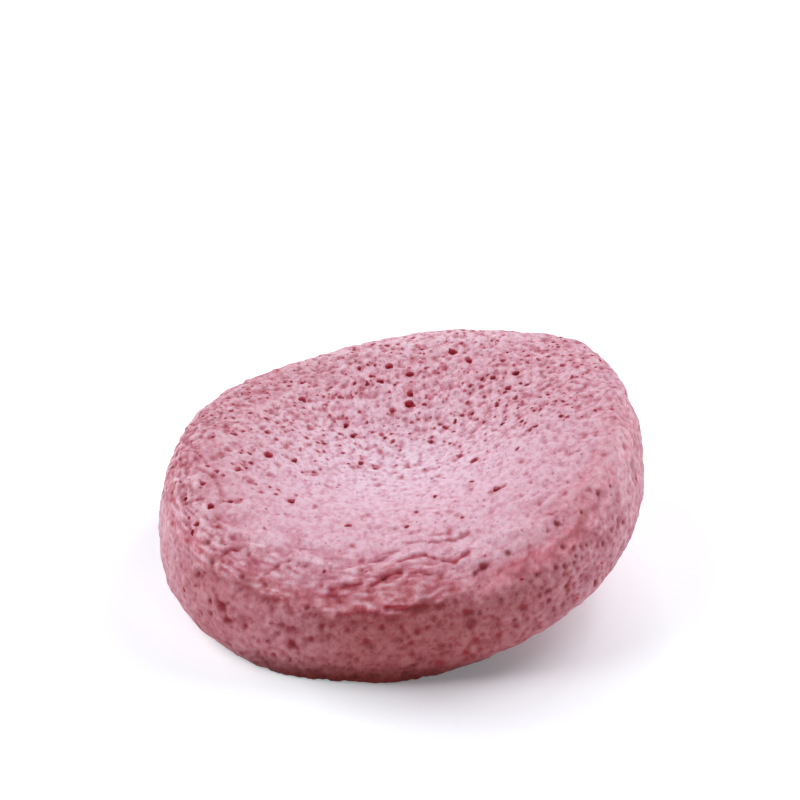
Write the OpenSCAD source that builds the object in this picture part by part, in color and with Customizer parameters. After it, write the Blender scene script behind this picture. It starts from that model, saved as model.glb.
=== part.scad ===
// A round facial sponge of dried konjac foam, lying on a table as it dried:
// the face has sunk to a shallow dish, the underside has swelled to a belly,
// and the rim has curled, so one side rests low and the other stands up.
// It is one moulded piece of foam. Units are millimetres, Z is up, and the
// origin is on the table, under the middle of the sponge's bounding box.

/* [Puck] */
// Width of the round puck, measured across its wall
sponge_w = 80; // [60:1:110]
// Height of the side wall, from the top of the lip to the foot
wall_h = 17.5; // [13:0.5:26]
// Rounding of the upper edge, the lip
lip_r = 7; // [4:0.5:9]
// Rounding of the lower edge, the foot
foot_r = 3.5; // [2:0.5:8]
// How far the foot of the wall stands out past the lip
wall_flare = 1; // [0:0.25:3]
// How far the wall swells between the lip and the foot
wall_swell = 0.5; // [0:0.1:2]
// Depth of the dish in the upper face, below the lip
dish_depth = 6.5; // [1:0.5:9]
// Drop of the belly on the underside, below the foot
belly_depth = 5.5; // [1:0.5:10]

/* [Tight Lip] */
// Share by which the lip is rounded more tightly on its tight side
lip_tight = 0.55; // [0:0.05:0.7]
// How far the lip has sunk on its tight side
lip_sink = 2.2; // [0:0.1:4]
// Direction of the tight side, from the right towards the back
tight_turn = -41; // [-90:1:0]

/* [Crease] */
// Depth of the crease that runs round under the lip
crease_depth = 0.4; // [0:0.1:1.5]
// Width of the crease, to each side of its bottom
crease_half_w = 1.2; // [0.8:0.1:3]
// How far below the top of the lip the crease runs, where the lip isn't tight
crease_drop = 4.5; // [3:0.5:8]

/* [Outline] */
// How far the outline bulges out along its long axis, and in across it
oval_out = 2.7; // [0:0.1:5]
// Direction of the long axis, from the right towards the back
oval_turn = 70; // [0:1:180]
// How far the outline's four blunt corners stand out
corner_out = 1.5; // [0:0.1:3]
// Direction of the first blunt corner
corner_turn = 47; // [0:1:90]

/* [Curl] */
// How far two opposite sides of the rim curl up, and the other two down
curl_up = 2.8; // [0:0.1:6]
// Direction of the side that curls up
curl_turn = 0; // [-90:1:90]
// How far three sides of the rim are twisted up, and three down
twist_up = 1.4; // [0:0.1:4]
// Direction of the first side that is twisted up
twist_turn = -35; // [-60:1:60]

/* [Lie] */
// Degrees that the sponge leans down to the left
lean_left = 6; // [0:0.5:14]
// Degrees that the sponge leans down to the front
lean_front = 2.5; // [-5:0.5:10]
// How deep the foam is flattened where it rests on the table
seat_depth = 1.25; // [0.5:0.25:3]

/* [Hidden] */
// Points round the sponge, and steps along each stretch of its section
around_count = 44;
dish_steps = 7;
lip_steps = 6;
wall_steps = 4;
foot_steps = 4;
belly_steps = 6;
// How far the block that flattens the underside reaches past the sponge
overrun = 5;
foam_pink = [0.80, 0.56, 0.61];

// Distance from the middle to the wall in the direction a
function reach(a) =
    sponge_w / 2
    + oval_out * cos(2 * (a - oval_turn))
    + corner_out * cos(4 * (a - corner_turn));

// Height that the rim gains in the direction a
function rise(a) =
    curl_up * cos(2 * (a - curl_turn))
    + twist_up * cos(3 * (a - twist_turn));

// How much the direction a belongs to the tight side, from 0 to 1
function tight_share(a) = pow((1 + cos(a - tight_turn)) / 2, 2);

// Rounding of the lip in the direction a
function lip_at(a) = lip_r * (1 - lip_tight * tight_share(a));

// How far the face has sunk at the radius p in the direction a
function sink_at(p, a) = lip_sink * tight_share(a) * pow(p / reach(a), 2);

// Inward pull of the crease in the direction a, at a drop below the lip's top
function crease(drop, a) =
    let (middle = crease_drop * lip_at(a) / lip_r)
    crease_depth * exp(-pow((drop - middle) / crease_half_w, 2));

// Smooth hump that is 1 in the middle, at t = 0, and 0 at its edge, at t = 1
function hump(t) = (1 + cos(180 * t)) / 2;

// Section of the puck in the direction a, as [radius, height] pairs from
// beside the middle of the face to beside the middle of the underside, with
// the height 0 at the top of a lip that hasn't sunk
function section(a) =
    let (
        r = reach(a),
        lip = lip_at(a),
        dish_r = r - lip,
        belly_r = r + wall_flare - foot_r,
        lip_foot = lip + sink_at(r, a),
        foot_top = wall_h - foot_r
    )
    concat(
        [for (k = [1 : dish_steps - 1])
            let (t = k / dish_steps)
            [dish_r * t, -dish_depth * hump(t) - sink_at(dish_r * t, a)]],
        [for (k = [0 : lip_steps])
            let (
                b = 90 - 90 * k / lip_steps,
                p = dish_r + lip * cos(b),
                drop = lip * (1 - sin(b))
            )
            [p - crease(drop, a), -drop - sink_at(p, a)]],
        [for (k = [1 : wall_steps - 1])
            let (
                t = k / wall_steps,
                p = r + wall_flare * t + wall_swell * sin(180 * t),
                fall = (foot_top - lip_foot) * t
            )
            [p - crease(lip + fall, a), -lip_foot - fall]],
        [for (k = [0 : foot_steps])
            let (b = -90 * k / foot_steps)
            [belly_r + foot_r * cos(b), foot_r * sin(b) - foot_top]],
        [for (k = [1 : belly_steps - 1])
            let (t = 1 - k / belly_steps)
            [belly_r * t, -wall_h - belly_depth * hump(t)]]
    );

// A point of the section, turned to the direction a and curled with the rim
function curled(p, a) =
    [p.x * cos(a), p.x * sin(a), p.y + rise(a) * pow(p.x / reach(a), 2)];

// A point leaned to the front and then to the left
function leaned(p) =
    let (
        y = p.y * cos(lean_front) - p.z * sin(lean_front),
        z = p.y * sin(lean_front) + p.z * cos(lean_front)
    )
    [p.x * cos(lean_left) - z * sin(lean_left), y,
     p.x * sin(lean_left) + z * cos(lean_left)];

// One ring of points for each step of the section
directions = [for (j = [0 : around_count - 1]) 360 * j / around_count];
sections = [for (a = directions) section(a)];
ring_count = len(sections[0]);
face_middle = [0, 0, -dish_depth];
belly_middle = [0, 0, -wall_h - belly_depth];
skin = concat(
    [for (i = [0 : ring_count - 1])
        for (j = [0 : around_count - 1])
            leaned(curled(sections[j][i], directions[j]))],
    [leaned(face_middle), leaned(belly_middle)]
);

// The box round the sponge, which puts the origin under its middle
xs = [for (p = skin) p.x];
ys = [for (p = skin) p.y];
zs = [for (p = skin) p.z];
origin = [(min(xs) + max(xs)) / 2, (min(ys) + max(ys)) / 2, min(zs) + seat_depth];

// Number of the point in ring i, direction j
function at(i, j) = i * around_count + j % around_count;
face_point = ring_count * around_count;
belly_point = face_point + 1;
faces = concat(
    [for (j = [0 : around_count - 1])
        [at(0, j + 1), at(0, j), face_point]],
    [for (i = [0 : ring_count - 2])
        for (j = [0 : around_count - 1])
            for (half = [0, 1])
                half == 0
                    ? [at(i, j), at(i, j + 1), at(i + 1, j + 1)]
                    : [at(i, j), at(i + 1, j + 1), at(i + 1, j)]],
    [for (j = [0 : around_count - 1])
        [at(ring_count - 1, j), at(ring_count - 1, j + 1), belly_point]]
);

// The foam puck, flattened underneath where it rests on the table
module sponge_body() {
    block_w = 2 * (max(zs) - min(zs) + sponge_w);
    block_h = seat_depth + overrun;
    color(foam_pink)
        difference() {
            translate(-origin)
                polyhedron(points = skin, faces = faces);
            translate([-block_w / 2, -block_w / 2, -block_h])
                cube([block_w, block_w, block_h]);
        }
}

sponge_body();
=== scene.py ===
import math
import random

import bmesh
import bpy
import numpy as np
from mathutils import Matrix, Vector, kdtree, noise
from mathutils.bvhtree import BVHTree


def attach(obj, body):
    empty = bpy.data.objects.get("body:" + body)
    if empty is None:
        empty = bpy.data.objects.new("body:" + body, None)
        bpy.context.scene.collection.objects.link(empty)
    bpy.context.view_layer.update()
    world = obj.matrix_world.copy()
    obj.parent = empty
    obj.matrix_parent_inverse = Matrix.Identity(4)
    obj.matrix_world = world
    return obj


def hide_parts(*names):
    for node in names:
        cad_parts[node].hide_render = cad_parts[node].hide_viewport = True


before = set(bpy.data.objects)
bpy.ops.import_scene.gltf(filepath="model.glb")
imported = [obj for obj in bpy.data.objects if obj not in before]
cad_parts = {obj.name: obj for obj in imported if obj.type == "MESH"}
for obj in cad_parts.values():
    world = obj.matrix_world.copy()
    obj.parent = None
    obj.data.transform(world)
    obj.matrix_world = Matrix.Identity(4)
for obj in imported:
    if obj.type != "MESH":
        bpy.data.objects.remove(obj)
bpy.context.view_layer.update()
scene = bpy.context.scene

# The view. A long lens looks at the sponge from the front and from a little
# above it. Marks that are given in pixels below are seen through this lens.
photo_px = 800
lens_mm = 100
film_mm = 36
view_down = math.radians(24)
view_distance = 0.34479
aimed_at = Vector((-0.0008, 0, 0.02605))

to_the_eye = Vector((0, -math.cos(view_down), math.sin(view_down)))
across_the_view = Vector((1, 0, 0))
up_the_view = Vector((0, math.sin(view_down), math.cos(view_down)))
camera_data = bpy.data.cameras.new("view")
camera_data.lens = lens_mm
camera_data.sensor_width = film_mm
camera = bpy.data.objects.new("view", camera_data)
camera.location = aimed_at + to_the_eye * view_distance
camera.rotation_euler = (math.pi / 2 - view_down, 0, 0)
scene.collection.objects.link(camera)
scene.camera = camera


def sight_line(x_px, y_px):
    """Direction from the lens to a place that is given in pixels."""
    across = (x_px - photo_px / 2) * film_mm / photo_px
    up = (photo_px / 2 - y_px) * film_mm / photo_px
    return (across_the_view * across + up_the_view * up - to_the_eye * lens_mm).normalized()


# The skin of the sponge. The foam is cast as a puck with a closed skin, which
# dries to the dished and curled form that the solid gives. Here the solid is
# rounded off and turned into a fine even skin that the relief can work on.
mm = 0.001
weld = 0.02 * mm
skin_cell = 0.3 * mm
nearly_flat = math.radians(0.5)
same_plane = math.radians(40)
near_square = math.radians(60)
rounding_levels = 2

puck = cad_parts["sponge_body"]
shape = bmesh.new()
shape.from_mesh(puck.data)
bmesh.ops.remove_doubles(shape, verts=shape.verts, dist=weld)
bmesh.ops.dissolve_limit(shape, angle_limit=nearly_flat, verts=shape.verts, edges=shape.edges)
bmesh.ops.join_triangles(
    shape,
    faces=shape.faces,
    angle_face_threshold=same_plane,
    angle_shape_threshold=near_square,
)
kept_sharp = shape.edges.layers.float.new("crease_edge")
for edge in shape.edges:
    if all(abs(corner.co.z) < weld for corner in edge.verts):
        edge[kept_sharp] = 1
skin_mesh = bpy.data.meshes.new("skin")
shape.to_mesh(skin_mesh)
shape.free()
skin = bpy.data.objects.new("skin", skin_mesh)
scene.collection.objects.link(skin)
rounding = skin.modifiers.new("rounding", "SUBSURF")
rounding.levels = rounding_levels
rounding.render_levels = rounding_levels
even = skin.modifiers.new("even", "REMESH")
even.mode = "VOXEL"
even.voxel_size = skin_cell
even.use_smooth_shade = True


def finished_mesh(piece):
    """Mesh of a piece with its modifiers worked in."""
    ready = piece.evaluated_get(bpy.context.evaluated_depsgraph_get())
    return bpy.data.meshes.new_from_object(ready)


def places_of(mesh):
    """Places of a mesh's points, one row each, in metres."""
    places = np.zeros(len(mesh.vertices) * 3, np.float32)
    mesh.vertices.foreach_get("co", places)
    return places.reshape(-1, 3).astype(float)


def outward_of(mesh):
    """Outward directions at a mesh's points, one row each."""
    outward = np.zeros(len(mesh.vertices) * 3, np.float32)
    mesh.vertex_normals.foreach_get("vector", outward)
    return outward.reshape(-1, 3).astype(float)


smooth_skin = finished_mesh(skin)
skin.modifiers.clear()
at = places_of(smooth_skin)
out = outward_of(smooth_skin)

# Where each point of the skin lies. The face is the dished upper side, and its
# closed skin ends at an edge below the lip. The wall stands under that edge,
# and the belly is the underside. At the front the edge is given by pixels.
directions = 90
skin_edge_px = [
    (196, 563), (213, 570), (240, 583), (266, 594), (289, 606), (320, 614),
    (347, 618), (375, 615), (400, 609), (430, 601), (457, 593), (480, 583),
    (514, 567), (540, 554), (560, 543), (581, 520), (600, 496), (618, 472),
]
edge_below_lip = 4 * mm
# The line down to which the lip is bright, by pixels as well.
bright_end_px = [
    (180, 540), (205, 556), (232, 566), (262, 577), (300, 594), (325, 596),
    (350, 592), (375, 584), (400, 577), (425, 580), (450, 585), (475, 582),
    (500, 576), (525, 562), (550, 546), (575, 522), (600, 494),
]
bright_below_lip = 2 * mm
unseen_before = 0.3
unseen_after = 0.5
# Each band fades in from its first value to its second.
rim_band = (8 * mm, 5 * mm)
wall_band = (12 * mm, 7 * mm)
belly_band = (0.25, 0.6)


def step(low, high, value):
    """Rises smoothly from 0 at low to 1 at high."""
    t = np.clip((value - low) / (high - low), 0, 1)
    return t * t * (3 - 2 * t)


def hump(value, middle, half_width):
    """Bell that is 1 at the middle and fades out past its half width."""
    return np.exp(-(((value - middle) / half_width) ** 2))


def smooth_tree(mesh, places):
    """The mesh as a tree that lines of sight can be cast at."""
    return BVHTree.FromPolygons(
        [Vector(place) for place in places],
        [tuple(face.vertices) for face in mesh.polygons],
    )


turn = np.arctan2(at[:, 1], at[:, 0])
reach = np.hypot(at[:, 0], at[:, 1])
sector = np.floor((turn + math.pi) / (2 * math.pi) * directions).astype(int) % directions
middle_turns = (np.arange(directions) + 0.5) / directions * 2 * math.pi - math.pi
rim_reach = np.array([reach[sector == k].max() for k in range(directions)])
rim_top = np.array([at[sector == k, 2].max() for k in range(directions)])
rim_reach = (np.roll(rim_reach, 1) + rim_reach + np.roll(rim_reach, -1)) / 3
rim_top = (np.roll(rim_top, 1) + rim_top + np.roll(rim_top, -1)) / 3

puck_tree = smooth_tree(smooth_skin, at)


def heights_below(line_px, lip_gap):
    """Heights of a line around the wall: where it is seen, and a gap under the lip."""
    spots = [puck_tree.ray_cast(camera.location, sight_line(*spot_px))[0] for spot_px in line_px]
    turns = [math.atan2(spot.y, spot.x) for spot in spots]
    unseen = (middle_turns < min(turns) - unseen_before) | (middle_turns > max(turns) + unseen_after)
    turns = np.concatenate([turns, middle_turns[unseen]])
    heights = np.concatenate([[spot.z for spot in spots], rim_top[unseen] - lip_gap])
    return turns, heights


def round_the_rim(turns, values):
    """Value in each point's direction of what is known in some directions."""
    return np.interp(turn, turns, values, period=2 * math.pi)


inset = round_the_rim(middle_turns, rim_reach) - reach
under_edge = round_the_rim(*heights_below(skin_edge_px, edge_below_lip)) - at[:, 2]
under_bright = round_the_rim(*heights_below(bright_end_px, bright_below_lip)) - at[:, 2]
near_rim = step(*rim_band, inset)
down_the_wall = np.clip(round_the_rim(middle_turns, rim_top) - at[:, 2], 0, None)
down_the_wall *= step(*wall_band, inset)
on_belly = step(*belly_band, -out[:, 2])

# The relief of the skin. Drying shrinks the foam unevenly, so it is lumpy all
# over, and the skin puckers into short folds that run round the rim. They are
# strongest at the front, and at the tight lip on the right they are fine.
seed_strides = (3.7, 1.9, 5.3)
luck_scale = 97
width_scale = 61
narrowest_pit = 0.2
pit_spread = 0.18


def ripples(places, size, seed):
    """Smooth noise from -1 to 1 whose lumps are about as wide as size."""
    shift = Vector([seed * stride for stride in seed_strides])
    return np.array([noise.noise(Vector(place) / size + shift) for place in places])


def soft_pits(places, apart, share, seed):
    """Soft round pits, 1 in their middles, in a share of the places about that far apart."""
    shift = Vector([seed * stride for stride in seed_strides])
    pits = np.zeros(len(places))
    for k, place in enumerate(places):
        gaps, middles = noise.voronoi(Vector(place) / apart + shift)
        luck = noise.cell(middles[0] * luck_scale)
        if abs(luck) < share[k]:
            wide = narrowest_pit + pit_spread * abs(noise.cell(middles[0] * width_scale))
            pits[k] = math.exp(-((gaps[0] / wide) ** 2))
    return pits


# The grain is drawn out a little from front to back.
drawn_out = np.array([1, 0.7, 1])
lumps = ripples(at, size=9 * mm, seed=1)
small_lumps = ripples(at, size=3 * mm, seed=2)
blotches = ripples(at * drawn_out, size=1.8 * mm, seed=4)
grain = ripples(at * drawn_out, size=1.0 * mm, seed=3)
fine_grain = ripples(at * drawn_out, size=0.6 * mm, seed=6)
calm_band = (6 * mm, -18 * mm)
smooth_front = step(*calm_band, at[:, 1])
lump_wander = 1.3
blotch_wander = 0.6
grain_wander = 0.3
edge_wander = (small_lumps * lump_wander + blotches * blotch_wander + grain * grain_wander) * mm
at_back = step(-0.2, 0.5, np.sin(turn))
to_the_left = step(0, -26 * mm, at[:, 0])
crisp_edge = 0.4
soft_edge = 1.4
edge_softness = (crisp_edge + soft_edge * np.maximum(to_the_left, at_back)) * mm
past_edge = (under_edge + edge_wander) / edge_softness
below_skin = np.maximum(step(-1, 1, past_edge) * near_rim, on_belly)
on_face = 1 - below_skin
on_wall = below_skin - on_belly * below_skin

rim_circle = 36
fold_squeeze = 1.9
fold_wander = 1.2
along_the_rim = np.stack([
    np.cos(turn) * rim_circle * mm,
    np.sin(turn) * rim_circle * mm,
    (inset - down_the_wall) * fold_squeeze + small_lumps * fold_wander * mm,
], axis=1)
waves = ripples(along_the_rim, size=4.2 * mm, seed=5)
fine_waves = ripples(along_the_rim, size=2.2 * mm, seed=8)
here_and_there = ripples(at, size=5 * mm, seed=9)
streaks = ripples(along_the_rim, size=1.5 * mm, seed=12)
front = step(0.1, 0.9, -np.sin(turn - 0.15))
left = step(0.3, 0.95, -np.cos(turn))
tight = step(0.3, 0.95, np.cos(turn + 0.6))
fold_zone = on_face * hump(inset, middle=5 * mm, half_width=8 * mm)
fold_share = fold_zone * np.clip(0.15 + 0.85 * front - 0.45 * tight * front + 0.45 * left, 0, 1)
fine_zone = on_face * hump(inset, middle=10 * mm, half_width=12 * mm)
fine_share = fine_zone * np.clip(0.6 * front + tight + 0.5 * left, 0, 1)
front_left = step(0.2, 0.8, np.cos(turn + 2.5))
streak_share = near_rim * (0.3 + 0.7 * on_face) * np.clip(front_left + 0.35 * front, 0, 1)
ragged_edge = hump(under_edge + edge_wander, middle=0.5 * mm, half_width=0.7 * mm)
ragged_edge *= near_rim
ragged_edge *= step(-0.1, 0.3, here_and_there)

# Single folds and dents that stand out, each as its width in pixels, its
# depth in millimetres and the pixels that it runs through.
marked_folds = [
    (5, 0.40, [(330, 589), (342, 588), (360, 583)]),
    (5, 0.40, [(372, 586), (384, 578), (398, 571)]),
    (4, 0.35, [(398, 562), (410, 558), (424, 555), (434, 557), (454, 562), (468, 552)]),
    (3, 0.18, [(326, 558), (344, 559)]),
    (3, 0.20, [(366, 564), (378, 560), (392, 554)]),
    (4, 0.28, [(266, 574), (272, 570), (282, 563)]),
    (4, 0.30, [(222, 555), (232, 549), (242, 548)]),
    (5, 0.25, [(268, 600), (286, 600), (290, 614)]),
    (5, 0.30, [(338, 615), (356, 613), (378, 611)]),
    (5, 0.40, [(386, 607), (402, 608), (428, 606)]),
    (3, 0.25, [(434, 541), (454, 539), (469, 532)]),
    (3, 0.20, [(410, 573), (424, 572)]),
    (3, 0.18, [(296, 548), (312, 550)]),
    (3, 0.20, [(276, 567), (292, 560)]),
    (3, 0.25, [(180, 452), (190, 450), (200, 454), (208, 464)]),
    (5, 0.20, [(223, 502), (240, 502)]),
    (5, 0.18, [(187, 503), (200, 499)]),
    (4, 0.18, [(197, 467), (214, 476)]),
    (3, 0.12, [(214, 476), (220, 490), (224, 500)]),
    (3, 0.25, [(221, 421), (238, 422)]),
    (3, 0.25, [(201, 415), (220, 412)]),
    (4, 0.35, [(490, 492), (503, 486)]),
    (3, 0.15, [(566, 454), (580, 451)]),
    (4, 0.30, [(528, 430), (538, 425)]),
    (5, 0.40, [(478, 571), (488, 564)]),
    (4, 0.15, [(500, 570), (512, 566), (526, 559)]),
    (5, 0.35, [(218, 602), (226, 612), (228, 621)]),
    (5, 0.40, [(289, 641), (297, 649)]),
    (5, 0.22, [(279, 624), (295, 631)]),
    (3, 0.20, [(362, 574), (371, 570)]),
    (3, 0.20, [(375, 557), (397, 550)]),
    (3, 0.20, [(403, 542), (424, 541)]),
    (3, 0.18, [(433, 535), (447, 533)]),
    (5, 0.25, [(328, 596), (336, 594)]),
    (4, 0.25, [(390, 577), (397, 572)]),
]
marked_dents = [
    (8, 0.30, [(574, 553), (583, 545)]),
    (7, 0.25, [(462, 588), (470, 604), (468, 628)]),
    (7, 0.50, [(624, 418), (630, 416)]),
    (30, 0.60, [(566, 597), (574, 592)]),
    (11, 0.20, [(184, 556), (200, 562)]),
]
mm_per_px = 0.16 * mm
valley_share = 0.5
crest_share = 0.25
crest_place = 1.9
crest_width = 0.8
red_width = 1.25
least_red = 0.3
red_per_depth = 2
frayed = 0.3
marked_relief = np.zeros(len(at))
marked_crests = np.zeros(len(at))
marked_red = np.zeros(len(at))
for width_px, depth_mm, line_px in marked_folds + marked_dents:
    line = [puck_tree.ray_cast(camera.location, sight_line(*spot_px))[0] for spot_px in line_px]
    away = np.full(len(at), 1.0)
    for start, end in zip(line, line[1:]):
        along = np.array(end - start)
        share = np.clip((at - np.array(start)) @ along / (along @ along), 0, 1)
        gap = at - np.array(start) - share[:, None] * along
        away = np.minimum(away, np.linalg.norm(gap, axis=1))
    away = (away + (blotches * frayed + grain * frayed) * mm) / (width_px * mm_per_px * 0.5)
    valley = np.exp(-(np.maximum(away, 0) ** 2))
    if (width_px, depth_mm, line_px) in marked_dents:
        marked_relief = np.minimum(marked_relief, -valley * depth_mm)
        continue
    crest = hump(away, crest_place, crest_width)
    redness = min(1, least_red + depth_mm * red_per_depth)
    marked_relief = np.minimum(marked_relief, -valley * depth_mm * valley_share)
    marked_crests = np.maximum(marked_crests, crest * depth_mm * crest_share)
    marked_red = np.maximum(marked_red, hump(away, 0, red_width) * redness)

# Open pores of the lip and the wall, by pixel with their width. The foam is
# softer edged there than on the face.
soft_pores = [
    (208, 542, 8), (213, 563, 8), (599, 493, 7), (612, 486, 5), (558, 523, 6),
    (508, 552, 7), (483, 565, 9), (475, 573, 6), (582, 512, 5), (290, 645, 9),
    (307, 608, 7), (310, 640, 7), (210, 601, 6), (222, 608, 8), (226, 620, 6),
    (245, 627, 7), (537, 575, 6), (522, 608, 8), (569, 587, 8), (499, 636, 8),
    (476, 641, 8), (466, 653, 8), (440, 664, 9), (412, 643, 7), (403, 633, 6),
    (211, 614, 6), (321, 627, 6), (347, 630, 6), (366, 642, 7), (382, 627, 6),
    (392, 619, 6), (273, 656, 6), (242, 577, 6), (265, 585, 6), (197, 575, 6),
    (557, 567, 6), (565, 566, 6), (467, 613, 7), (470, 627, 7), (498, 625, 6),
    (417, 632, 6), (563, 547, 6), (575, 548, 7), (587, 545, 5), (623, 522, 5),
]
hole_fray = 0.15
hole_reach = 0.45
soft_holes = np.zeros(len(at))
for x_px, y_px, width_px in soft_pores:
    middle = puck_tree.ray_cast(camera.location, sight_line(x_px, y_px))[0]
    away = np.linalg.norm(at - np.array(middle), axis=1) + (blotches + grain) * hole_fray * mm
    hole = np.exp(-((away / (width_px * mm_per_px * hole_reach)) ** 2))
    soft_holes = np.maximum(soft_holes, hole)

back = step(-0.35, 0.45, at[:, 1] / (40 * mm))
left_face = step(-14 * mm, -30 * mm, at[:, 0]) * step(-26 * mm, -12 * mm, at[:, 1])
rose_side = np.clip(back + 0.6 * left * near_rim + 0.35 * left_face, 0, 1)
lip_share = near_rim * step(-0.1, 0.3, -np.sin(turn)) * step(-3.5, 0, under_bright / mm)
pit_wobble = 0.35
wobble = np.stack([blotches, grain, small_lumps], axis=1) * pit_wobble * mm
wall_share = below_skin * 0.95 + lip_share * on_face * 0.5
fine_pit_share = below_skin * 0.7 + on_face * (0.25 - 0.15 * smooth_front)
face_share = on_face * (0.22 - 0.08 * smooth_front + 0.65 * rose_side)
dark_share = on_wall * 0.62
wall_pits = soft_pits(at + wobble, apart=1.4 * mm, share=wall_share, seed=21)
fine_pits = soft_pits(at * drawn_out + wobble, apart=1.0 * mm, share=fine_pit_share, seed=22)
face_pits = soft_pits(at * drawn_out, apart=1.5 * mm, share=face_share, seed=23)
dark_pits = soft_pits(at + wobble, apart=2.0 * mm, share=dark_share, seed=24)
dark_pits = step(0.3, 0.85, dark_pits)
back_lumps = step(0.2, 0.9, np.cos(turn - 0.9)) * near_rim

# The rim is blunt at the back right: it swells at one turn, draws in at the
# next and swells a little again. Every height of the relief is in millimetres.
corner_swell = 0.8
corner_dip = 0.4
next_swell = 0.4
blunt_corner = (
    hump(turn, middle=0.80, half_width=0.26) * corner_swell
    - hump(turn, middle=1.17, half_width=0.18) * corner_dip
    + hump(turn, middle=1.5, half_width=0.2) * next_swell
)
blunt_corner *= near_rim
lump_height = 0.26
back_lump_height = 0.35
small_lump_height = 0.18
blotch_height = 0.10 + 0.03 * on_wall
grain_height = 0.15 - 0.05 * smooth_front
fine_grain_height = 0.09 - 0.05 * smooth_front
wave_height = 0.42
fine_wave_height = 0.26
streak_height = 0.22 - 0.06 * front
ragged_depth = 0.20
wall_pit_depth = 0.22 - 0.10 * np.abs(np.cos(turn))
fine_pit_depth = 0.12 - 0.06 * on_wall
dark_pit_depth = 0.22
face_pit_depth = 0.20
soft_hole_depth = 0.3

relief = (
    lumps * lump_height
    + blunt_corner
    + small_lumps * back_lumps * back_lump_height
    + small_lumps * small_lump_height
    + blotches * blotch_height
    + grain * grain_height
    + fine_grain * fine_grain_height
    + waves * fold_share * wave_height
    + fine_waves * fine_share * fine_wave_height
    + streaks * streak_share * streak_height
    - ragged_edge * ragged_depth
    - wall_pits * wall_pit_depth
    - fine_pits * fine_pit_depth
    - dark_pits * dark_pit_depth
    - face_pits * face_pit_depth
    - soft_holes * soft_hole_depth
    + marked_relief
    + marked_crests
) * mm
between_streaks = step(0.0, 0.35, -streaks) * streak_share
edge_redness = 0.5
puckered = ragged_edge * edge_redness

shaped = at + out * relief[:, None]
shaped[:, 2] = np.maximum(shaped[:, 2], 0)
smooth_skin.vertices.foreach_set("co", shaped.astype(np.float32).ravel())
smooth_skin.update()
skin_places = places_of(smooth_skin)
skin_out = outward_of(smooth_skin)
skin_tree = smooth_tree(smooth_skin, skin_places)

# The pores. Bubbles in the setting foam leave open pores in the skin. The wide
# ones are given by pixel, with their width. The small ones are a crowd that is
# dense at the back and the left of the face, and thin in front and below.
marked_pores = [
    (389, 366, 10), (359, 368, 6), (371, 376, 6), (380, 381, 8), (367, 384, 7),
    (410, 394, 10), (409, 404, 10), (424, 404, 5), (392, 410, 7), (410, 374, 9),
    (346, 425, 7), (353, 436, 7), (340, 434, 5), (318, 443, 6), (318, 451, 4),
    (294, 461, 7), (269, 455, 9), (234, 434, 7), (267, 432, 7), (276, 439, 5),
    (213, 437, 4), (241, 453, 4), (250, 454, 5), (291, 423, 4), (302, 399, 8),
    (293, 430, 4), (267, 393, 4), (231, 411, 5), (302, 383, 6), (217, 471, 5),
    (238, 469, 7), (246, 468, 4), (203, 483, 6), (291, 501, 8), (186, 499, 5),
    (211, 506, 7), (230, 502, 6), (197, 524, 5), (192, 532, 5), (361, 463, 7),
    (375, 469, 5), (385, 438, 5), (393, 441, 5),
    (270, 487, 4), (261, 492, 4), (276, 494, 4), (349, 525, 7), (453, 352, 10),
    (469, 361, 8), (503, 360, 6), (539, 360, 5), (527, 362, 5), (516, 373, 9),
    (563, 365, 7), (548, 367, 5), (493, 378, 7), (482, 379, 5), (508, 388, 8),
    (505, 392, 5), (527, 385, 6), (515, 398, 6), (497, 405, 6), (462, 415, 6),
    (484, 422, 5), (418, 419, 5), (502, 424, 5), (525, 423, 5), (561, 416, 6),
    (530, 430, 6), (535, 426, 6), (446, 428, 6), (431, 442, 6), (450, 443, 4),
    (460, 456, 7), (474, 460, 8), (517, 449, 4), (497, 490, 9), (612, 409, 5),
    (435, 496, 5), (398, 344, 5), (595, 410, 4),
]
chance = random.Random(7)
few_are_wide = 2.2

pores = []
for x_px, y_px, width_px in marked_pores:
    spot, facing, _, _ = skin_tree.ray_cast(camera.location, sight_line(x_px, y_px))
    if spot is not None:
        pores.append((spot, facing, width_px * mm_per_px / 2))

corners = np.array([face.vertices[:3] for face in smooth_skin.polygons])
a, b, c = (skin_places[corners[:, k]] for k in range(3))
sizes = np.linalg.norm(np.cross(b - a, c - a), axis=1)
chances = np.cumsum(sizes) / sizes.sum()


def crowd(tries, least, most, share, taken, gap):
    """Pores at chance places of the skin, kept a gap apart from those taken."""
    found = []
    cells = {}
    cell = 2 * most * gap

    def cell_of(spot):
        return tuple(int(math.floor(s / cell)) for s in spot)

    for spot, facing, radius in taken:
        cells.setdefault(cell_of(spot), []).append((spot, radius))
    for _ in range(tries):
        k = int(np.searchsorted(chances, chance.random()))
        v = corners[min(k, len(corners) - 1)][0]
        if chance.random() > share[v]:
            continue
        spot = Vector(skin_places[v])
        facing = Vector(skin_out[v])
        radius = least + (most - least) * chance.random() ** few_are_wide
        home = cell_of(spot)
        near = [
            item
            for i in (-1, 0, 1)
            for j in (-1, 0, 1)
            for k in (-1, 0, 1)
            for item in cells.get((home[0] + i, home[1] + j, home[2] + k), [])
        ]
        if any((spot - s).length < (radius + r) * gap for s, r in near):
            continue
        found.append((spot, facing, radius))
        cells.setdefault(home, []).append((spot, radius))
    return found


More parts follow.
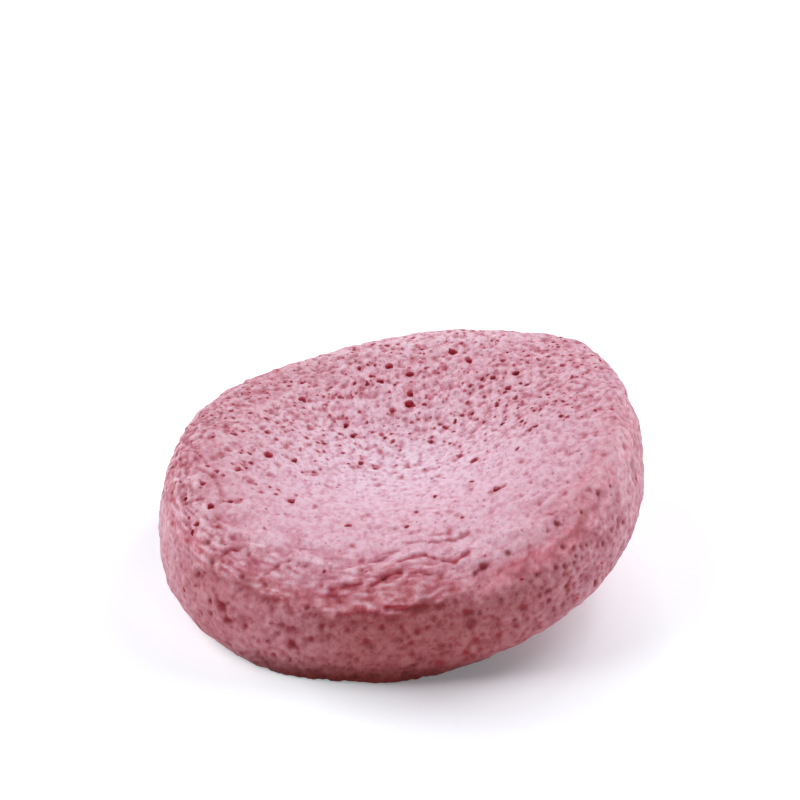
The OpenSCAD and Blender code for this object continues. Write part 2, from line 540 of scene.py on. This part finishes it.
open_face = on_face * (1 - 0.8 * lip_share)
open_wall = below_skin * (0.15 + 0.85 * at_back)
wide_share = open_wall * 0.05 + open_face * (0.02 + 0.35 * rose_side)
pit_share = open_wall * 0.10 + open_face * (0.15 + 0.75 * rose_side)
small_share = open_wall * 0.2 + open_face * (0.12 + 0.3 * rose_side)
wide = crowd(tries=6000, least=0.2 * mm, most=0.42 * mm, share=wide_share, taken=pores, gap=1.3)
taken = pores + wide
pits = crowd(tries=16000, least=0.22 * mm, most=0.36 * mm, share=pit_share, taken=taken, gap=1.1)
taken = pores + wide + pits
small = crowd(tries=9000, least=0.1 * mm, most=0.18 * mm, share=small_share, taken=taken, gap=1.3)

batch = 50
drawn_to_front = 0.25
drift_size = 0.5 * mm
ball_points = {1: 12, 2: 42}
length_range = (0.75, 1.15)
width_range = (0.8, 1.15)
depth_range = (0.85, 1.15)
sink_range = 0.1
spin_range = 0.5


def bore(mesh, holes, rings, unevenness, depth_share, seed):
    """Mesh with a bubble-shaped hollow cut at each of the holes."""
    luck = random.Random(seed)
    bubbles = bmesh.new()
    for start in range(0, len(holes), batch):
        few = bmesh.new()
        for spot, facing, radius in holes[start:start + batch]:
            front_to_back = Vector((0, 1, 0)) - facing * facing.y
            drawn = 1 + drawn_to_front * front_to_back.length
            long_way = radius * drawn * luck.uniform(*length_range)
            cross_way = radius * luck.uniform(*width_range)
            deep_way = radius * luck.uniform(*depth_range)
            sunk = deep_way * luck.uniform(depth_share - sink_range, depth_share + sink_range)
            spin = Matrix.Rotation(luck.uniform(-spin_range, spin_range), 4, "Z")
            side = front_to_back.cross(facing).normalized()
            stand = Matrix((side, facing.cross(side), facing)).transposed().to_4x4()
            size = Matrix.Diagonal((cross_way, long_way, deep_way, 1))
            place = Matrix.Translation(spot - facing * sunk) @ stand @ spin @ size
            bmesh.ops.create_icosphere(few, subdivisions=rings, radius=1, matrix=place)
            for point in few.verts[-ball_points[rings]:]:
                drift = noise.noise_vector(point.co / drift_size + Vector((seed, 0, 0)))
                point.co += drift * radius * unevenness
        some = bpy.data.meshes.new("some")
        few.to_mesh(some)
        few.free()
        bubbles.from_mesh(some)
        bpy.data.meshes.remove(some)
    cutter_mesh = bpy.data.meshes.new("bubbles")
    bubbles.to_mesh(cutter_mesh)
    bubbles.free()
    cutter = bpy.data.objects.new("bubbles", cutter_mesh)
    body = bpy.data.objects.new("body", mesh)
    scene.collection.objects.link(cutter)
    scene.collection.objects.link(body)
    cut = body.modifiers.new("cut", "BOOLEAN")
    cut.operation = "DIFFERENCE"
    cut.solver = "MANIFOLD"
    cut.object = cutter
    result = finished_mesh(body)
    bpy.data.objects.remove(cutter)
    bpy.data.objects.remove(body)
    return result


lobed_share = 0.6
lobe_shift = 0.8
lobe_range = (0.45, 0.75)
second_lobes = []
for spot, facing, radius in pores + wide:
    if chance.random() < lobed_share:
        aside = facing.orthogonal()
        aside.rotate(Matrix.Rotation(chance.uniform(0, 2 * math.pi), 3, facing))
        lobe = radius * chance.uniform(*lobe_range)
        second_lobes.append((spot + aside * radius * lobe_shift, facing, lobe))

foam = bore(smooth_skin, pores + wide, rings=2, unevenness=0.3, depth_share=0.15, seed=11)
foam = bore(foam, pits, rings=1, unevenness=0.2, depth_share=-0.45, seed=14)
foam = bore(foam, small, rings=1, unevenness=0.2, depth_share=0.0, seed=12)
foam = bore(foam, second_lobes, rings=2, unevenness=0.3, depth_share=0.1, seed=13)

# How deep each point of the finished foam lies under the skin, and how far it
# is from the edge of the nearest wide pore. Both give its colour below.
skin_points = kdtree.KDTree(len(skin_places))
for k, p in enumerate(skin_places):
    skin_points.insert(p, k)
skin_points.balance()
foam_at = places_of(foam)
nearest = np.array([skin_points.find(place)[1] for place in foam_at])
depth = ((skin_places[nearest] - foam_at) * skin_out[nearest]).sum(axis=1)
pore_points = kdtree.KDTree(len(pores) + len(wide))
for k, (spot, _, _) in enumerate(pores + wide):
    pore_points.insert(spot, k)
pore_points.balance()
halo = np.zeros(len(foam_at))
for k, p in enumerate(foam_at):
    _, which, away = pore_points.find(p)
    halo[k] = away - (pores + wide)[which][2]

# The colours of the zones. The face is rose towards the back and the left, and
# fades to a pale lilac pink in the middle and the front; in the middle that pale
# is partly a painted soft highlight. Below the skin's edge the foam is a deep
# rose red, and painted shade makes it deepest where the wall turns under.
back_rose = (0.75, 0.425, 0.515)
shaded_slope_rose = (0.58, 0.295, 0.36)
left_rose = (0.685, 0.365, 0.437)
right_pink = (0.645, 0.325, 0.41)
front_pink = (0.76, 0.465, 0.565)
pale_middle_and_highlight = (0.82, 0.625, 0.74)
lip_rose = (0.65, 0.245, 0.279)
under_lip = (0.78, 0.31, 0.37)
wall_red = (0.60, 0.30, 0.345)
shaded_red = (0.385, 0.110, 0.120)
foot_shade_red = (0.143, 0.016, 0.0125)
lit_end_pink = (0.65, 0.345, 0.41)
lit_left_end = (0.68, 0.445, 0.535)
left_rim_sheen = (0.71, 0.46, 0.545)
fold_rose = (0.68, 0.244, 0.293)
left_wall = (0.55, 0.228, 0.265)
rim_sheen_pink = (0.84, 0.60, 0.69)
corner_pink = (0.775, 0.48, 0.575)
right_lip = (0.74, 0.40, 0.48)
right_pink_wall = (0.70, 0.39, 0.47)
right_end_sheen = (0.74, 0.48, 0.57)
left_lip = (0.68, 0.315, 0.365)
halo_red = (0.62, 0.13, 0.18)
pale_crest_and_highlight = (0.86, 0.62, 0.71)
hollow_stain_and_shade = np.array((0.82, 0.56, 0.62))
wall_stain = np.array((0.74, 0.52, 0.56))
pit_stain = np.array((0.62, 0.25, 0.28))
dark_stain = np.array((0.52, 0.24, 0.28))
red_stain = np.array((0.82, 0.40, 0.46))
streak_stain = np.array((0.70, 0.42, 0.46))
fold_stain = np.array((0.60, 0.18, 0.22))
crest_lift_and_highlight = np.array((0.06, 0.20, 0.17))


def laid_over(under, colour, share):
    """A colour laid over what is there, by a share for each point."""
    return under * (1 - share[:, None]) + np.array(colour) * share[:, None]


def stained(under, stain, share):
    """A colour darkened by a stain, by a share for each point."""
    return under * (1 - share[:, None] * (1 - stain))


# First the plain zones, each a soft area of the face: x, y, inset and reach
# are taken in millimetres, and turn is the angle round the sponge.
x = at[:, 0] / mm
y = at[:, 1] / mm
# The back inner slope of the dish faces away from the lamps: its darker rose is painted shade.
on_shaded_slope = step(8, 20, y) * hump(inset / mm, middle=10, half_width=5)
at_front = step(8, -14, y) * step(-34, -16, x) * (1 - 0.35 * step(12, 26, x))
in_middle = np.exp(-(((x + 2) / 20) ** 2) - ((y + 2) / 17) ** 2)
at_corner = hump(turn, middle=0.62, half_width=0.45) * step(20, 31, reach / mm)
tint = np.tile(np.array(back_rose), (len(at), 1))
tint = laid_over(tint, shaded_slope_rose, on_shaded_slope)
tint = laid_over(tint, left_rose, step(-5, -30, x))
tint = laid_over(tint, right_pink, step(5, 30, x))
tint = laid_over(tint, front_pink, at_front)
# The pale middle is partly the skin's paler tone and partly a painted soft highlight.
tint = laid_over(tint, pale_middle_and_highlight, in_middle)
# The back rim is painted paler, a painted sheen where it is seen edge-on.
tint = laid_over(tint, rim_sheen_pink, step(22, 34, y))
tint = laid_over(tint, corner_pink, at_corner * 0.85)
tint = laid_over(tint, fold_rose, lip_share * 0.8)

# Then the lip and the wall under it. The wall is pale at its ends, where painted
# side light and sheen lighten it, and a deep red in front, where painted shade
# darkens it, and its foot is the darkest, with painted shade where it turns under.
end_of_lip = step(24, 33, x)
towards_front = step(0.1, 0.4, -np.sin(turn))
on_lip = step(-0.7, 0.7, under_bright / mm + small_lumps * 0.8 + grain * 0.5) * near_rim
on_lip *= step(-0.1, 0.3, -np.sin(turn)) * (1 - 0.75 * end_of_lip)
round_the_wall = below_skin * step(14 * mm, 8 * mm, inset)
lip_line = hump(under_bright / mm, middle=0, half_width=3) * near_rim * towards_front
salmon = hump(under_edge / mm, middle=0.8, half_width=1.7) * step(4, 14, x)
salmon = salmon * step(0.2, 0.7, front) * near_rim
in_shade = step(0.82, 0.98, -np.sin(turn - 0.12)) * (1 - salmon)
at_shaded_foot = step(4.5, 0.5, at[:, 2] / mm) * step(0.7, 0.95, -np.sin(turn))
right_of_wall = round_the_wall * hump(x, middle=17, half_width=8) * towards_front
at_lit_ends = step(0.68, 0.96, np.abs(np.cos(turn + 0.1)))
at_lit_left_end = step(0.75, 0.98, -np.cos(turn + 0.1))
tint = laid_over(tint, lip_rose, on_lip)
tint = laid_over(tint, left_lip, on_lip * step(-20, -32, x))
tint = laid_over(tint, wall_red, below_skin)
tint = laid_over(tint, left_wall, round_the_wall * step(-8, -26, x))
tint = laid_over(tint, right_lip, lip_line * step(12, 24, x) * 0.6)
tint = laid_over(tint, under_lip, salmon)
tint = laid_over(tint, shaded_red, round_the_wall * in_shade)
# Painted shade: the foot of the wall, where it turns under to the floor, is painted darkest.
tint = laid_over(tint, foot_shade_red, round_the_wall * at_shaded_foot)
tint = laid_over(tint, right_pink_wall, right_of_wall * 0.14)
# The ends of the wall are painted paler, as painted side light and sheen.
tint = laid_over(tint, lit_end_pink, round_the_wall * at_lit_ends)
tint = laid_over(tint, lit_left_end, round_the_wall * at_lit_left_end)
# A painted sheen pales the face's rim at the far left.
tint = laid_over(tint, left_rim_sheen, near_rim * step(-29, -35, x) * 0.35)
# A painted sheen pales the lip at its right end.
tint = laid_over(tint, right_end_sheen, lip_line * end_of_lip * 0.6)

# Last the fine variation: pale crests, partly painted highlight, and stains in
# hollows and pits; in the hollows of the relief the stain is partly painted shade.
roughness = grain * 0.8 + fine_grain * 0.5
on_crest = step(0.1, 0.5, roughness)
crest_of_face = on_crest * on_face * (1 - lip_share) * (0.42 - 0.24 * smooth_front)
crest_of_wave = step(0.1, 0.5, waves) * fold_share * (1 - lip_share)
crest_of_streak = step(0.05, 0.4, streaks) * streak_share * on_face
in_hollow = step(0, -0.4, roughness) * (0.3 + 0.7 * on_face * (1 - 0.65 * smooth_front))
in_hollow = np.maximum(in_hollow, step(0.1, -0.4, waves) * fold_share)
in_spot = step(0, -0.4, blotches * 0.9 + grain * 0.2)
in_patch = step(0, -0.5, small_lumps)
# The pale crests are partly painted highlight.
tint = laid_over(tint, pale_crest_and_highlight, crest_of_face)
tint = laid_over(tint, pale_crest_and_highlight, crest_of_wave * 0.25)
tint = laid_over(tint, pale_crest_and_highlight, crest_of_streak * (0.4 + 0.35 * front_left))
tint = stained(tint, streak_stain, between_streaks * (1 - 0.35 * front))
tint = stained(tint, fold_stain, marked_red)
# Crests of the wall are lightened, partly as painted highlight.
tint *= 1 + (on_crest * below_skin)[:, None] * crest_lift_and_highlight
# The hollows of the relief are stained darker, partly as painted shade.
tint = stained(tint, hollow_stain_and_shade, in_hollow)
right_wall = step(6, 20, x)
pale_end = step(25, 34, x)
spots = np.maximum(in_spot * (0.4 + 0.3 * right_wall), in_patch * (0.15 + 0.5 * right_wall))
tint = stained(tint, wall_stain, on_wall * spots)
in_wall_pit = np.clip(np.maximum(wall_pits, fine_pits * below_skin * 0.8) * 1.3, 0, 1)
in_wall_pit *= (1 - 0.8 * salmon) * (0.85 - 0.3 * np.abs(np.cos(turn)) + 0.35 * right_wall)
in_wall_pit *= 1 - 0.4 * pale_end
tint = stained(tint, pit_stain, in_wall_pit)
in_dark_pit = dark_pits * (0.8 + 0.35 * right_wall - 0.25 * front_left)
in_dark_pit *= (1 - 0.7 * salmon) * (1 - 0.5 * pale_end)
tint = stained(tint, dark_stain, in_dark_pit)
pits_of_face = np.maximum(face_pits * 1.15, fine_pits * 0.7)
in_face_pit = np.clip(pits_of_face * on_face * (1 + 0.35 * left), 0, 1)
tint = stained(tint, red_stain, in_face_pit)
in_red = np.maximum(puckered, np.clip(soft_holes * 1.5 - 0.1, 0, 1))
in_red = np.maximum(in_red, in_face_pit * 0.35)

# The colours are kept on the foam's points. The marks say how deep a point
# lies in a pore, how much it is in a fold and how much closed skin it has.
halo_width = 0.4 * mm
full_depth = 0.5 * mm
foam_tint = np.ones((len(foam_at), 4), np.float32)
by_pore = np.clip(1 - halo / halo_width, 0, 1) * 0.5
foam_tint[:, :3] = laid_over(tint[nearest], halo_red, by_pore)
marks = np.ones((len(foam_at), 4), np.float32)
marks[:, 0] = np.clip(depth / full_depth, 0, 1)
in_hole = step(0.12 * mm, 0.4 * mm, depth)
marks[:, 1] = np.maximum(in_red[nearest], in_hole * below_skin[nearest] * 0.7)
rosy_lip = (0.85 - 0.5 * front_left) * lip_share
rosy_right = 0.6 * step(14, 26, x) * hump(inset / mm, middle=0, half_width=9)
rosy = np.maximum(rosy_lip, rosy_right)
marks[:, 2] = (on_face * (1 - rosy) * (1 - 0.5 * smooth_front) * (1 - marked_red))[nearest]
for name, values in (("foam_tint", foam_tint), ("foam_marks", marks)):
    layer = foam.color_attributes.new(name, "FLOAT_COLOR", "POINT")
    layer.data.foreach_set("color", values.ravel())
sharp_from = math.radians(60)
foam.shade_smooth()
foam.set_sharp_from_angle(angle=sharp_from)

# The sponge's own map. The face and the wall are laid out as one disc, and the
# underside as a smaller one in the corner.
upper_disc = (0.375, 0.625)
under_disc = (0.80, 0.20)
per_mm = 0.365 / 66
under_per_mm = 0.19 / 44
faces_down = -0.35
spread = np.hypot(foam_at[:, 0], foam_at[:, 1])
bearing = foam_at[:, :2] / np.maximum(spread, 0.01 * mm)[:, None]
upper_places = np.array(upper_disc) + bearing * ((spread + down_the_wall[nearest]) / mm * per_mm)[:, None]
under_places = np.array(under_disc) + bearing * (spread / mm * under_per_mm)[:, None]
loop_points = np.zeros(len(foam.loops), np.int32)
foam.loops.foreach_get("vertex_index", loop_points)
face_starts = np.zeros(len(foam.polygons), np.int32)
foam.polygons.foreach_get("loop_start", face_starts)
face_sizes = np.zeros(len(foam.polygons), np.int32)
foam.polygons.foreach_get("loop_total", face_sizes)
downward = np.add.reduceat(out[nearest, 2][loop_points], face_starts) / face_sizes < faces_down
under_side = np.repeat(downward, face_sizes)
own_map = foam.uv_layers.new(name="OFBake")
laid_out = np.where(under_side[:, None], under_places[loop_points], upper_places[loop_points])
own_map.data.foreach_set("uv", laid_out.astype(np.float32).ravel())

sponge = bpy.data.objects.new("konjac_sponge", foam)
scene.collection.objects.link(sponge)

# The foam's finish. Dry konjac foam is matt. Its closed skin has fine hollows,
# veins, pale crests and pinholes, and it is a deep red inside pores and folds.
# The hollows of the fine bump are darkened partly with painted shade, and its
# crests and small spots are lightened with painted glints. The finish takes the
# colours of the zones from the foam's points.
finish = bpy.data.materials.new("konjac_foam")
finish.use_nodes = True
nodes = finish.node_tree.nodes
links = finish.node_tree.links
shader = nodes["Principled BSDF"]
for setting, value in (
    ("Roughness", 0.7),
    ("Specular IOR Level", 0.25),
    ("Sheen Weight", 0.15),
    ("Sheen Tint", (1, 0.7, 0.78, 1)),
    ("Sheen Roughness", 0.35),
):
    shader.inputs[setting].default_value = value


def node(kind, **settings):
    """A new node of the foam's finish with its settings."""
    made = nodes.new(kind)
    for name, value in settings.items():
        setattr(made, name, value)
    return made


def noise_pattern(scale, detail):
    """Soft noise over the foam, from 0 to 1."""
    made = node("ShaderNodeTexNoise")
    made.inputs["Scale"].default_value = scale
    made.inputs["Detail"].default_value = detail
    links.new(drawn_places.outputs["Vector"], made.inputs["Vector"])
    return made.outputs["Fac"]


def ranged(value, low, high, new_low=0.0, new_high=1.0):
    """A value taken smoothly from one range to another."""
    made = node("ShaderNodeMapRange", interpolation_type="SMOOTHSTEP")
    made.inputs["From Min"].default_value = low
    made.inputs["From Max"].default_value = high
    made.inputs["To Min"].default_value = new_low
    made.inputs["To Max"].default_value = new_high
    links.new(value, made.inputs["Value"])
    return made.outputs["Result"]


def blended(share, first, second, way="MIX"):
    """Two colours mixed by a share; each is a socket or a written colour."""
    made = node("ShaderNodeMix", data_type="RGBA", blend_type=way)
    if isinstance(share, float):
        made.inputs["Factor"].default_value = share
    else:
        links.new(share, made.inputs["Factor"])
    for k, colour in ((6, first), (7, second)):
        if isinstance(colour, tuple):
            made.inputs[k].default_value = colour
        else:
            links.new(colour, made.inputs[k])
    return made.outputs[2]


shallow_stain = (0.92, 0.48, 0.54, 1)
deep_stain = (0.74, 0.20, 0.25, 1)
fold_red = (0.25, 0.022, 0.030, 1)
rose_stain_and_shade = (0.86, 0.60, 0.66, 1)
cool_lilac = (0.76, 0.56, 0.68, 1)
painted_glint = (0.92, 0.82, 0.87, 1)

places = node("ShaderNodeTexCoord")
drawn_places = node("ShaderNodeMapping")
drawn_places.inputs["Scale"].default_value = drawn_out
links.new(places.outputs["Object"], drawn_places.inputs["Vector"])
tinted = node("ShaderNodeAttribute", attribute_name="foam_tint").outputs["Color"]
marked = node("ShaderNodeAttribute", attribute_name="foam_marks")
split = node("ShaderNodeSeparateColor")
links.new(marked.outputs["Color"], split.inputs["Color"])
in_pore = split.outputs["Red"]
in_fold = split.outputs["Green"]
skin_here = split.outputs["Blue"]


def cell_pattern(scale, feature, randomness=1.0):
    """Distance within the cells of a foam that is that many cells to a metre."""
    made = node("ShaderNodeTexVoronoi", feature=feature)
    made.inputs["Scale"].default_value = scale
    made.inputs["Randomness"].default_value = randomness
    links.new(drawn_places.outputs["Vector"], made.inputs["Vector"])
    return made


def product(first, second):
    """Two shares multiplied."""
    made = node("ShaderNodeMath", operation="MULTIPLY")
    for k, part in enumerate((first, second)):
        if isinstance(part, float):
            made.inputs[k].default_value = part
        else:
            links.new(part, made.inputs[k])
    return made.outputs[0]


# Patterns by their number of lumps or cells to a metre.
rough_scale = 1350
vein_scale = 620
dot_scale = 850
cool_scale = 480
glint_scale = 2300

rough = noise_pattern(rough_scale, detail=3)
hollows = ranged(rough, low=0.53, high=0.38)
crests = ranged(rough, low=0.54, high=0.68)
veins = node("ShaderNodeMath", operation="ABSOLUTE")
vein_middle = node("ShaderNodeMath", operation="SUBTRACT")
links.new(noise_pattern(vein_scale, detail=2), vein_middle.inputs[0])
vein_middle.inputs[1].default_value = 0.5
links.new(vein_middle.outputs[0], veins.inputs[0])
vein_lines = ranged(veins.outputs[0], low=0.035, high=0.0)
dots = cell_pattern(dot_scale, feature="F1")
dot_round = ranged(dots.outputs["Distance"], low=0.32, high=0.16)
dot_pick = node("ShaderNodeSeparateColor")
links.new(dots.outputs["Color"], dot_pick.inputs["Color"])
dot_here = ranged(dot_pick.outputs["Red"], low=0.6, high=0.65)
pinholes = product(dot_round, dot_here)
cool = ranged(noise_pattern(cool_scale, detail=3), low=0.42, high=0.66)
glint_specks = ranged(noise_pattern(glint_scale, detail=2), low=0.60, high=0.70)

in_shallow = ranged(in_pore, low=0.04, high=0.35)
in_deep = ranged(in_pore, low=0.4, high=0.95)

cool_share = 0.25
hollow_share = 0.5
vein_share = 0.5
crest_tip_share = 0.2
glint_share = 0.2
pinhole_share = 0.3
fold_red_share = 0.95
base = blended(product(product(cool, skin_here), cool_share), tinted, cool_lilac)
# The hollows of the fine bump are darkened, partly as painted shade.
base = blended(product(hollows, hollow_share), base, rose_stain_and_shade, "MULTIPLY")
base = blended(product(vein_lines, vein_share), base, rose_stain_and_shade, "MULTIPLY")
# Painted glints: the crests of the fine bump and small spots are lightened towards white.
base = blended(product(product(crests, skin_here), crest_tip_share), base, painted_glint)
base = blended(product(product(glint_specks, skin_here), glint_share), base, painted_glint)
base = blended(product(product(pinholes, skin_here), pinhole_share), base, fold_red)
base = blended(product(in_fold, fold_red_share), base, fold_red)
base = blended(in_shallow, base, shallow_stain, "MULTIPLY")
base = blended(in_deep, base, deep_stain, "MULTIPLY")
links.new(base, shader.inputs["Base Color"])

least_bump = 0.18
most_bump = 0.45
bump_height = 0.35 * mm
pinhole_sink = 0.5
dull = 0.85
least_dull = 0.5
heights = node("ShaderNodeMath", operation="SUBTRACT")
links.new(rough, heights.inputs[0])
links.new(product(pinholes, pinhole_sink), heights.inputs[1])
fine = node("ShaderNodeBump")
links.new(ranged(skin_here, 0.0, 1.0, least_bump, most_bump), fine.inputs["Strength"])
fine.inputs["Distance"].default_value = bump_height
links.new(heights.outputs[0], fine.inputs["Height"])
links.new(fine.outputs["Normal"], shader.inputs["Normal"])
gloss = ranged(rough, low=0.35, high=0.65, new_low=dull, new_high=least_dull)
links.new(gloss, shader.inputs["Roughness"])

sponge.data.materials.clear()
sponge.data.materials.append(finish)

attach(sponge, "root")
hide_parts("sponge_body")
bpy.data.objects.remove(skin)

# The floor. A plain white sheet that keeps the sponge's shadow. It glows a
# little, least in the shadow and most far off, so that it stays white there.
floor_half_width = 3
below_sponge = 0.05 * mm
paper_white = (0.93, 0.92, 0.97, 1)
glow_colour = (0.90, 1, 1, 1)
glow_in_shadow = 0.06
glow_beside_it = 0.32
glow_far_off = 0.8
shadow_middle = (12 * mm, -22 * mm, 0)
shadow_stretch = (1.8, 1, 1)
shadow_reach = 27 * mm
white_reach = 52 * mm
far_start = 0.15
far_end = 0.5
floor_shape = bmesh.new()
bmesh.ops.create_grid(floor_shape, x_segments=1, y_segments=1, size=floor_half_width)
floor_mesh = bpy.data.meshes.new("floor")
floor_shape.to_mesh(floor_mesh)
floor_shape.free()
floor = bpy.data.objects.new("floor", floor_mesh)
floor.location = (0, 0, -below_sponge)
scene.collection.objects.link(floor)
paper = bpy.data.materials.new("white_paper")
paper.use_nodes = True
paper_nodes = paper.node_tree.nodes
paper_links = paper.node_tree.links
paper_shader = paper_nodes["Principled BSDF"]
paper_shader.inputs["Base Color"].default_value = paper_white
paper_shader.inputs["Roughness"].default_value = 0.9
seen = paper_nodes.new("ShaderNodeLightPath")
paper_shader.inputs["Emission Color"].default_value = glow_colour
on_paper = paper_nodes.new("ShaderNodeTexCoord")
stretched = paper_nodes.new("ShaderNodeMapping")
stretched.vector_type = "TEXTURE"
stretched.inputs["Location"].default_value = shadow_middle
stretched.inputs["Scale"].default_value = [1 / s for s in shadow_stretch]
paper_links.new(on_paper.outputs["Object"], stretched.inputs["Vector"])
from_sponge = paper_nodes.new("ShaderNodeVectorMath")
from_sponge.operation = "LENGTH"
paper_links.new(stretched.outputs["Vector"], from_sponge.inputs[0])
paleness = paper_nodes.new("ShaderNodeMapRange")
paleness.inputs["From Min"].default_value = shadow_reach
paleness.inputs["From Max"].default_value = white_reach
paleness.inputs["To Min"].default_value = glow_in_shadow
paleness.inputs["To Max"].default_value = glow_beside_it
paper_links.new(from_sponge.outputs["Value"], paleness.inputs["Value"])
far_off = paper_nodes.new("ShaderNodeMapRange")
far_off.inputs["From Min"].default_value = far_start
far_off.inputs["From Max"].default_value = far_end
far_off.inputs["To Max"].default_value = glow_far_off
paper_links.new(from_sponge.outputs["Value"], far_off.inputs["Value"])
all_glow = paper_nodes.new("ShaderNodeMath")
all_glow.operation = "ADD"
paper_links.new(paleness.outputs["Result"], all_glow.inputs[0])
paper_links.new(far_off.outputs["Result"], all_glow.inputs[1])
glow = paper_nodes.new("ShaderNodeMath")
glow.operation = "MULTIPLY"
paper_links.new(all_glow.outputs[0], glow.inputs[1])
paper_links.new(seen.outputs["Is Camera Ray"], glow.inputs[0])
paper_links.new(glow.outputs[0], paper_shader.inputs["Emission Strength"])
floor.data.materials.append(paper)

# The light. Six soft lamps stand around the sponge: two at the back, two at the
# left, one high up at the right and a low one in front. The room itself gives
# little light, a little blue, and it looks white.
room_light = 0.06
room_tone = (0.75, 0.88, 1, 1)
plain_white = (1, 1, 1, 1)
lamp_width = 0.5
room = bpy.data.worlds.new("white_room")
room.use_nodes = True
room_nodes = room.node_tree.nodes
surround = room_nodes["Background"]
looked_at = room_nodes.new("ShaderNodeLightPath")
brightness = room_nodes.new("ShaderNodeMapRange")
brightness.inputs["To Min"].default_value = room_light
brightness.inputs["To Max"].default_value = 1
room.node_tree.links.new(looked_at.outputs["Is Camera Ray"], brightness.inputs["Value"])
room.node_tree.links.new(brightness.outputs["Result"], surround.inputs["Strength"])
room_colour = room_nodes.new("ShaderNodeMix")
room_colour.data_type = "RGBA"
room_colour.inputs[6].default_value = room_tone
room_colour.inputs[7].default_value = plain_white
room.node_tree.links.new(looked_at.outputs["Is Camera Ray"], room_colour.inputs["Factor"])
room.node_tree.links.new(room_colour.outputs[2], surround.inputs["Color"])
scene.world = room


def soft_lamp(name, place, watts):
    """A round soft lamp that faces the sponge."""
    lamp_data = bpy.data.lights.new(name, "AREA")
    lamp_data.shape = "DISK"
    lamp_data.size = lamp_width
    lamp_data.energy = watts
    lamp = bpy.data.objects.new(name, lamp_data)
    lamp.location = place
    lamp.rotation_euler = (-lamp.location).to_track_quat("-Z", "Y").to_euler()
    scene.collection.objects.link(lamp)


soft_lamp("lamp_back_right", (0.49, 0.49, 0.4), 3.3)
soft_lamp("lamp_right_high", (0.45, 0.26, 0.61), 2.1)
soft_lamp("lamp_back_left", (-0.63, 0.39, 0.3), 2.9)
soft_lamp("lamp_left_low", (-0.75, 0, 0.27), 1.5)
soft_lamp("lamp_left_high", (-0.51, 0, 0.61), 1.9)
soft_lamp("lamp_front", (0.24, -0.74, 0.19), 3.1)

scene.view_settings.view_transform = "Standard"
